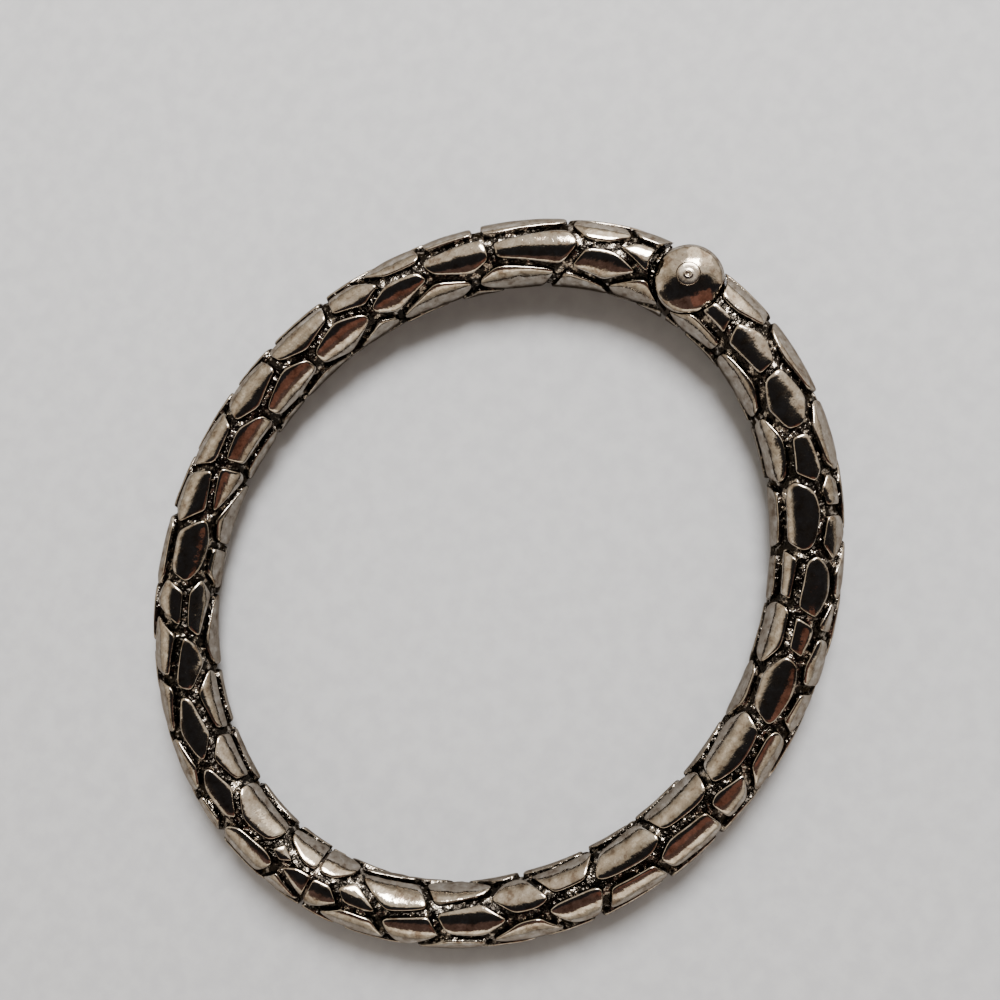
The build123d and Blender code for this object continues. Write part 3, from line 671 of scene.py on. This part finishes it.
def cast_ground(half):
    """Ground of the grooves as one closed skin: a grid along and round the half at the groove
    depth with a fine cast grain, a cupped face at the hinge and a socketed face at the clasp.
    None of it is polished."""
    columns = round(LAP / GROUND_STEP)
    arc = LAP * np.arange(columns) / columns
    start, finish = half_ends(half, GROOVE_DEPTH)
    start = np.interp(arc, ARC_TABLE, start)
    finish = np.interp(arc, ARC_TABLE, finish)
    rows = round((finish - start).mean() / GROUND_STEP)
    share = np.linspace(0.0, 1.0, rows + 1)[:, None]
    grain = np.random.default_rng(GRAIN_SEED).normal(0.0, 1.0, (rows + 1, columns))
    grain = (grain + np.roll(grain, 1, 1)) / 2
    grain[[0, -1]] = 0.0
    along = start + share * (finish - start)
    body = place(along, arc + 0 * share, GROOVE_DEPTH - GRAIN_HEIGHT * grain)
    body = clear_of_knuckle(body, half)
    hinge_rings, hinge_pole = hinge_face(body[0] if half is LEFT else body[-1], half)
    hole = PEG_HOLE if half is LEFT else SHANK_HOLE
    seam = finish[0] if half is LEFT else start[0]
    clasp_rings, clasp_pole = clasp_face(seam, -half["side"], hole, arc, GROOVE_DEPTH)
    if half is LEFT:
        rings = np.concatenate([hinge_rings[::-1], body, clasp_rings])
        first, last = hinge_pole, clasp_pole
    else:
        rings = np.concatenate([clasp_rings[::-1], body, hinge_rings])
        first, last = clasp_pole, hinge_pole
    return closed_skin(rings[None], first, last, np.zeros((1, *rings.shape[:2])))


def outward_turned(skin):
    """The skin with its faces turned so that the volume it holds is positive."""
    points, quads, fans, relief = skin
    triangles = np.concatenate([quads[:, [0, 1, 2]], quads[:, [0, 2, 3]], fans])
    a, b, c = (points[triangles[:, corner]] - points.mean(0) for corner in range(3))
    if (a * np.cross(b, c)).sum() < 0:
        return points, quads[:, ::-1], fans[:, ::-1], relief
    return skin


def make_piece(name, skins, body, material):
    """One piece from closed skins, in metres in the shared frame, with its polish as an
    attribute."""
    skins = [outward_turned(skin) for skin in skins]
    counts = np.cumsum([0] + [len(skin[0]) for skin in skins])
    points = (np.concatenate([skin[0] for skin in skins]) + OVAL_SHIFT) / 1000
    quads = np.concatenate([skin[1] + count for skin, count in zip(skins, counts)])
    fans = np.concatenate([skin[2] + count for skin, count in zip(skins, counts)])
    mesh = bpy.data.meshes.new(name)
    mesh.vertices.add(len(points))
    mesh.vertices.foreach_set("co", points.ravel())
    mesh.loops.add(quads.size + fans.size)
    mesh.loops.foreach_set("vertex_index", np.concatenate([quads.ravel(), fans.ravel()]))
    mesh.polygons.add(len(quads) + len(fans))
    totals = np.concatenate([np.full(len(quads), 4), np.full(len(fans), 3)])
    mesh.polygons.foreach_set("loop_start", np.concatenate([[0], np.cumsum(totals)[:-1]]))
    mesh.polygons.foreach_set("loop_total", totals)
    mesh.polygons.foreach_set("use_smooth", np.ones(len(totals), bool))
    mesh.update(calc_edges=True)
    # The attribute is the polish of each point, lowered on the wrist side as painted shade
    polish_and_shade = mesh.attributes.new("polish_and_shade", "FLOAT", "POINT")
    polish_and_shade.data.foreach_set("value", np.concatenate([skin[3] for skin in skins]).astype(np.float32))
    mesh.set_sharp_from_angle(angle=math.radians(SHARP_ANGLE))
    mesh.materials.append(material)
    piece = bpy.data.objects.new(name, mesh)
    bpy.context.scene.collection.objects.link(piece)
    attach(piece, body)
    return piece


def rivet():
    """Rivet as a turned profile: shaft, two heads with a rounded edge and a low raised rim, and a
    small ring with a dimple in the middle of each head."""
    top = KNUCKLE_RISE + PIN_HEAD_PROUD
    under = top - PIN_HEAD_THICKNESS
    side = np.array([(PIN_HEAD_RADIUS, top - HEAD_SHOULDER), (PIN_HEAD_RADIUS, under + PIN_EASE),
                     (PIN_HEAD_RADIUS - PIN_EASE, under), (PIN_RADIUS + PIN_EASE, under),
                     (PIN_RADIUS, under - PIN_EASE)])
    head = np.concatenate([np.array(HEAD_TABLE) + (0.0, top), side])
    profile = np.concatenate([head, head[::-1] * (1, -1)])
    turn = 360 * np.arange(PIN_COLUMNS) / PIN_COLUMNS
    rings = finished_top(profile[:, None, 0] + 0 * turn, turn[None], profile[:, None, 1] + 0 * turn)
    pole = by_pin(*np.array([0.0, 0.0, top - DIMPLE_DEPTHS[0]]))
    foot = by_pin(*np.array([0.0, 0.0, DIMPLE_DEPTHS[1] - top]))
    return closed_skin(rings[None], pole, foot, np.ones((1, len(profile), PIN_COLUMNS)))


# Colours of the metals: stops of nickel over its stain, and of the grooves over their beads
NICKEL_STOPS = [(0.34, (0.15, 0.116, 0.088)), (0.49, (0.27, 0.236, 0.196)),
                (0.66, (0.39, 0.358, 0.316))]
GROOVE_STOPS = [(0.0, (0.010, 0.0085, 0.007)), (0.52, (0.016, 0.014, 0.012)),
                (0.64, (0.28, 0.25, 0.215))]
RIVET_COLOURS = (0.18, 0.15, 0.12), (0.31, 0.278, 0.238)
CLASP_COLOURS = (0.05, 0.04, 0.032), (0.10, 0.08, 0.065)
EDGE_TINT = (0.50, 0.47, 0.44, 1.0)

# Noises of the cast metal as scale per metre, detail and roughness: stain, cloud, grain, filed,
# pits and beads
CAST_NOISES = ((1100.0, 6.0, 0.68), (260.0, 3.0, 0.5), (2600.0, 2.0, 0.5),
               (800.0, 3.0, 0.62), (4200.0, 1.0, 0.5), (1500.0, 3.0, 0.5))

# Where the grooves' black ends: what cloud and stain add to the polish, and the range of that sum
# over which the metal comes clean. The painted shade of the wrist side lowers that sum there
CLOUD_SHARE = 0.35
STAIN_SHARE = 0.7
CLEAN_RANGE = (0.82, 1.18)

# Nickel's tone by polish, a painted shade that darkens the less polished wrist side and walls
# of the scales, and roughness by stain, as input range and output range, and the black's
# roughness
SHADE_BY_POLISH = (0.4, 1.0, 0.45, 1.0)
ROUGHNESS_BY_STAIN = (0.3, 0.7, 0.15, 0.05)
BLACK_ROUGHNESS = 0.14

# Bumps: strength and distance in metres. Pits are the noise within their range, and the grain is
# as strong as the metal is black
FILED_BUMP = (0.55, 0.00006)
PITS_RANGE = (0.70, 0.77)
PITS_BUMP = (0.12, 0.00003)
GRAIN_DISTANCE = 0.00020

# Fine wear of the turned metals: noise, the places of the two colours, roughness and bump
WEAR_NOISE = (1500.0, 4.0, 0.5)
WEAR_PLACES = (0.3, 0.7)
WEAR_ROUGHNESS = (0.10, 0.24)
WEAR_BUMP = (0.25, 0.00004)


def new_nodes(name):
    """A new node material, its node tree, its shader and a socket with the object's own place."""
    material = bpy.data.materials.new(name)
    material.use_nodes = True
    tree = material.node_tree
    where = tree.nodes.new("ShaderNodeTexCoord").outputs["Object"]
    return material, tree, tree.nodes["Principled BSDF"], where


def add(tree, kind, **values):
    """Adds a node. Values named by words are set on its inputs, the others on the node itself."""
    node = tree.nodes.new(kind)
    for key, value in values.items():
        if key in node.inputs:
            node.inputs[key].default_value = value
        else:
            setattr(node, key, value)
    return node


def noise(tree, where, scale, detail, roughness):
    """Noise over the coordinates of a socket."""
    node = add(tree, "ShaderNodeTexNoise", Scale=scale, Detail=detail, Roughness=roughness)
    tree.links.new(where, node.inputs["Vector"])
    return node.outputs["Fac"]


def ramp(tree, fac, stops):
    """Smooth colour ramp fed by a socket: stops are (place, colour)."""
    node = tree.nodes.new("ShaderNodeValToRGB")
    node.color_ramp.interpolation = "EASE"
    marks = node.color_ramp.elements
    for place_at, colour in stops[2:]:
        marks.new(place_at)
    for mark, (place_at, colour) in zip(marks, stops):
        mark.position = place_at
        mark.color = (*colour, 1.0)
    tree.links.new(fac, node.inputs["Fac"])
    return node.outputs["Color"]


def scaled(tree, value, low, high, first, last, smooth=False):
    """Value carried from the range low to high into the range first to last, held at its ends."""
    node = add(tree, "ShaderNodeMapRange")
    if smooth:
        node.interpolation_type = "SMOOTHSTEP"
    tree.links.new(value, node.inputs["Value"])
    for key, number in (("From Min", low), ("From Max", high), ("To Min", first), ("To Max", last)):
        node.inputs[key].default_value = number
    return node.outputs["Result"]


def bumped(tree, height, strength, distance, normal=None):
    """Bump of a height field on top of an earlier normal. Strength is a number or a socket."""
    node = add(tree, "ShaderNodeBump", Distance=distance)
    tree.links.new(height, node.inputs["Height"])
    if isinstance(strength, float):
        node.inputs["Strength"].default_value = strength
    else:
        tree.links.new(strength, node.inputs["Strength"])
    if normal:
        tree.links.new(normal, node.inputs["Normal"])
    return node.outputs["Normal"]


def cast_metal():
    """Dark nickel over a white casting: polished warm grey tops with brown stains, small pits and a
    hand-filed unevenness, and glossy black, grainy grooves. The polish attribute is 0 in the
    grooves and 1 on top. Where it is lower, on the wrist side and the walls, the nickel is
    darkened as painted shade."""
    material, tree, shader, where = new_nodes("dark_nickel_cast")
    link = tree.links.new
    polish_and_shade = add(tree, "ShaderNodeAttribute", attribute_name="polish_and_shade").outputs["Fac"]
    stain, cloud, grain, filed, pits, beads = (noise(tree, where, *row) for row in CAST_NOISES)
    nickel, black = ramp(tree, stain, NICKEL_STOPS), ramp(tree, beads, GROOVE_STOPS)
    worn_and_shaded = add(tree, "ShaderNodeMath", operation="MULTIPLY_ADD")
    link(cloud, worn_and_shaded.inputs[0])
    worn_and_shaded.inputs[1].default_value = CLOUD_SHARE
    link(polish_and_shade, worn_and_shaded.inputs[2])
    streaked = add(tree, "ShaderNodeMath", operation="MULTIPLY_ADD")
    link(stain, streaked.inputs[0])
    streaked.inputs[1].default_value = STAIN_SHARE
    link(worn_and_shaded.outputs[0], streaked.inputs[2])
    clean = scaled(tree, streaked.outputs[0], *CLEAN_RANGE, 0.0, 1.0, smooth=True)
    # Painted shade: nickel darkened where less polished, on the wrist side and the scales' walls
    shaded_nickel = add(tree, "ShaderNodeMix", data_type="RGBA", blend_type="MULTIPLY")
    shaded_nickel.inputs["Factor"].default_value = 1.0
    link(nickel, shaded_nickel.inputs[6])
    link(scaled(tree, polish_and_shade, *SHADE_BY_POLISH), shaded_nickel.inputs[7])
    colour = add(tree, "ShaderNodeMix", data_type="RGBA")
    link(clean, colour.inputs["Factor"])
    link(black, colour.inputs[6])
    link(shaded_nickel.outputs[2], colour.inputs[7])
    link(colour.outputs[2], shader.inputs["Base Color"])
    rough = add(tree, "ShaderNodeMix", data_type="FLOAT")
    link(clean, rough.inputs["Factor"])
    rough.inputs[2].default_value = BLACK_ROUGHNESS
    link(scaled(tree, stain, *ROUGHNESS_BY_STAIN), rough.inputs[3])
    link(rough.outputs[0], shader.inputs["Roughness"])
    normal = bumped(tree, filed, *FILED_BUMP)
    normal = bumped(tree, scaled(tree, pits, *PITS_RANGE, 1.0, 0.0), *PITS_BUMP, normal)
    normal = bumped(tree, grain, scaled(tree, clean, 0.0, 1.0, 1.0, 0.0), GRAIN_DISTANCE, normal)
    link(normal, shader.inputs["Normal"])
    shader.inputs["Metallic"].default_value = 1.0
    shader.inputs["Specular Tint"].default_value = EDGE_TINT
    return material


def plain_metal(name, low, high):
    """Plain turned metal between two colours, with fine wear in its gloss."""
    material, tree, shader, where = new_nodes(name)
    link = tree.links.new
    wear = noise(tree, where, *WEAR_NOISE)
    stops = [(WEAR_PLACES[0], low), (WEAR_PLACES[1], high)]
    link(ramp(tree, wear, stops), shader.inputs["Base Color"])
    link(scaled(tree, wear, 0.0, 1.0, *WEAR_ROUGHNESS), shader.inputs["Roughness"])
    link(bumped(tree, wear, *WEAR_BUMP), shader.inputs["Normal"])
    shader.inputs["Metallic"].default_value = 1.0
    shader.inputs["Specular Tint"].default_value = EDGE_TINT
    return material


metal = cast_metal()
rivet_metal = plain_metal("rivet_nickel", *RIVET_COLOURS)
clasp_metal = plain_metal("clasp_steel", *CLASP_COLOURS)
left = make_piece("left_half_cast", [cast_ground(LEFT), raised_scales(LEFT), *hinge_tongue()],
                  "left", metal)
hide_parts("left_half")
right = make_piece("right_half_cast", [cast_ground(RIGHT), raised_scales(RIGHT), knuckle_cheek(1),
                                       knuckle_cheek(-1), knuckle_back()],
                   "right", metal)
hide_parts("right_half")
pin = make_piece("hinge_rivet", [rivet()], "right", rivet_metal)
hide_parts("hinge_pin")
peg = frame["nodes"]["clasp_peg"]
peg.data.materials.clear()
peg.data.materials.append(clasp_metal)

# Camera: place in millimetres, and the directions of the picture's right and lower sides
CAMERA_AT = (8.843, -11.47, 122.59)
PICTURE_RIGHT = np.array([0.56679, -0.81582, -0.11485])
PICTURE_DOWN = np.array([-0.82365, -0.56430, -0.05637])
LENS = 43.2
SENSOR_WIDTH = 36.0
CLIP_START = 0.001

# Studio: the wall's colours from straight below (0) to straight above (1), and the rise over
# which the fields fade in above the plain wall, as sines of the angle
WALL_STOPS = [(0.0, (0.46, 0.445, 0.42)), (0.5, (0.56, 0.525, 0.475)), (0.60, (1.04, 0.915, 0.745)),
              (0.76, (1.66, 1.46, 1.19)), (0.92, (0.92, 0.81, 0.65))]
WALL_RISE = (0.08, 0.26)

# Fields of light and shade that the metal mirrors, each laid over the ones before: middle and
# size towards the picture's right and upper sides, how far it fades out, and its colour
FIELDS = (
    ((0.30, 0.62), (0.72, 0.30), 2.0, (1.65, 1.49, 1.28)),
    ((0.30, 0.76), (0.30, 0.20), 2.0, (3.80, 3.45, 2.95)),
    ((0.30, -0.80), (0.55, 0.10), 2.0, (2.90, 2.58, 2.14)),
    ((0.08, -0.41), (0.60, 0.34), 1.5, (0.22, 0.135, 0.115)),
    ((0.34, -0.42), (0.26, 0.14), 1.7, (0.42, 0.19, 0.14)),
    ((-0.50, -0.28), (0.34, 0.13), 2.0, (0.06, 0.052, 0.05)),
    ((0.62, -0.10), (0.42, 0.19), 2.0, (0.06, 0.058, 0.062)),
    ((0.07, -0.04), (0.67, 0.26), 2.2, (0.036, 0.035, 0.039)),
    ((0.42, -0.25), (0.17, 0.085), 1.8, (0.36, 0.17, 0.125)),
)
FIELD_POWER = 3.0

# Table under the bangle: half its width in metres, its noise, its roughness and its colours
TABLE_EDGE = 2.5
TABLE_NOISE = (500.0, 4.0, 0.5)
TABLE_ROUGHNESS = 0.75
TABLE_STOPS = [(0.3, (0.315, 0.327, 0.352)), (0.7, (0.35, 0.362, 0.387))]


def aim(obj, right, up, spot):
    """Turns an object so that its X is right, its Y is up and it looks along its -Z."""
    back = np.cross(right, up)
    turn = np.eye(4)
    turn[:3, 0], turn[:3, 1], turn[:3, 2] = right, up, back / np.linalg.norm(back)
    turn[:3, 3] = spot
    obj.matrix_world = Matrix(turn.tolist())


def set_camera():
    """Camera at the photographed angle, above the bangle that lies on its side."""
    camera = bpy.data.objects.new("camera", bpy.data.cameras.new("camera"))
    camera.data.lens = LENS
    camera.data.sensor_width = SENSOR_WIDTH
    camera.data.clip_start = CLIP_START
    bpy.context.scene.collection.objects.link(camera)
    aim(camera, PICTURE_RIGHT, -PICTURE_DOWN, np.array(CAMERA_AT) / 1000)
    bpy.context.scene.camera = camera


def flat_axes():
    """The picture's right and upper directions, laid flat on the floor."""
    right = PICTURE_RIGHT * (1, 1, 0)
    right = right / np.linalg.norm(right)
    return right, np.cross((0, 0, 1), right)


def soft_light(name, side, rise, distance, size, power, colour):
    """Soft round light: side is its compass angle in the picture (0 right, 90 up), rise its
    angle above the floor."""
    data = bpy.data.lights.new(name, "AREA")
    data.shape = "DISK"
    data.size = size
    data.energy = power
    data.color = colour
    light = bpy.data.objects.new(name, data)
    bpy.context.scene.collection.objects.link(light)
    right, up = flat_axes()
    flat = math.cos(math.radians(side)) * right + math.sin(math.radians(side)) * up
    away = math.cos(math.radians(rise)) * flat + math.sin(math.radians(rise)) * np.array((0, 0, 1))
    level = np.cross((0, 0, 1), away)
    level = level / np.linalg.norm(level)
    aim(light, level, np.cross(away, level), away * distance)


def studio_world():
    """Soft warm tent: beige walls that fade to grey near the floor, with bright, black, brown and
    copper fields above them that the polished metal mirrors."""
    world = bpy.data.worlds.new("studio")
    bpy.context.scene.world = world
    world.use_nodes = True
    tree = world.node_tree
    link = tree.links.new
    direction = tree.nodes.new("ShaderNodeTexCoord").outputs["Generated"]
    right, up = flat_axes()

    def along(axis):
        """How far a direction points along an axis."""
        dot = add(tree, "ShaderNodeVectorMath", operation="DOT_PRODUCT")
        link(direction, dot.inputs[0])
        dot.inputs[1].default_value = tuple(axis)
        return dot.outputs["Value"]

    def patch(middle, inner, outer):
        """One inside an oval patch of directions, fading to nothing at its border and towards
        the floor."""
        parts = []
        for axis, centre, size in zip((right, up), middle, inner):
            part = add(tree, "ShaderNodeMath", operation="MULTIPLY_ADD")
            link(along(axis), part.inputs[0])
            part.inputs[1].default_value = 1 / size
            part.inputs[2].default_value = -centre / size
            power = add(tree, "ShaderNodeMath", operation="POWER")
            power.inputs[1].default_value = FIELD_POWER
            absolute = add(tree, "ShaderNodeMath", operation="ABSOLUTE")
            link(part.outputs[0], absolute.inputs[0])
            link(absolute.outputs[0], power.inputs[0])
            parts.append(power.outputs[0])
        total = add(tree, "ShaderNodeMath", operation="ADD")
        link(parts[0], total.inputs[0])
        link(parts[1], total.inputs[1])
        both = add(tree, "ShaderNodeMath", operation="MULTIPLY")
        link(scaled(tree, total.outputs[0], 1.0, outer, 1.0, 0.0, smooth=True), both.inputs[0])
        link(scaled(tree, along((0, 0, 1)), *WALL_RISE, 0.0, 1.0, smooth=True), both.inputs[1])
        return both.outputs[0]

    def over(base, mask, colour):
        """Base colour with another laid over it where the mask is one."""
        mix = add(tree, "ShaderNodeMix", data_type="RGBA")
        link(mask, mix.inputs["Factor"])
        link(base, mix.inputs[6])
        mix.inputs[7].default_value = (*colour, 1.0)
        return mix.outputs[2]

    rise = scaled(tree, along((0, 0, 1)), -1.0, 1.0, 0.0, 1.0)
    colour = ramp(tree, rise, WALL_STOPS)
    for middle, inner, outer, shade in FIELDS:
        colour = over(colour, patch(middle, inner, outer), shade)
    back = tree.nodes["Background"]
    link(colour, back.inputs["Color"])
    back.inputs["Strength"].default_value = 1.0


def studio_floor():
    """Plain pale matte table under the bangle."""
    material, tree, shader, where = new_nodes("pale_table")
    colour = ramp(tree, noise(tree, where, *TABLE_NOISE), TABLE_STOPS)
    tree.links.new(colour, shader.inputs["Base Color"])
    shader.inputs["Roughness"].default_value = TABLE_ROUGHNESS
    mesh = bpy.data.meshes.new("table")
    corners = [(x * TABLE_EDGE, y * TABLE_EDGE, 0) for x, y in ((-1, -1), (1, -1), (1, 1), (-1, 1))]
    mesh.from_pydata(corners, [], [(0, 1, 2, 3)])
    mesh.materials.append(material)
    table = bpy.data.objects.new("table", mesh)
    bpy.context.scene.collection.objects.link(table)


set_camera()
studio_world()
studio_floor()
soft_light("window", side=80.0, rise=50.0, distance=0.6, size=0.25, power=10.0,
           colour=(1.0, 0.97, 0.93))
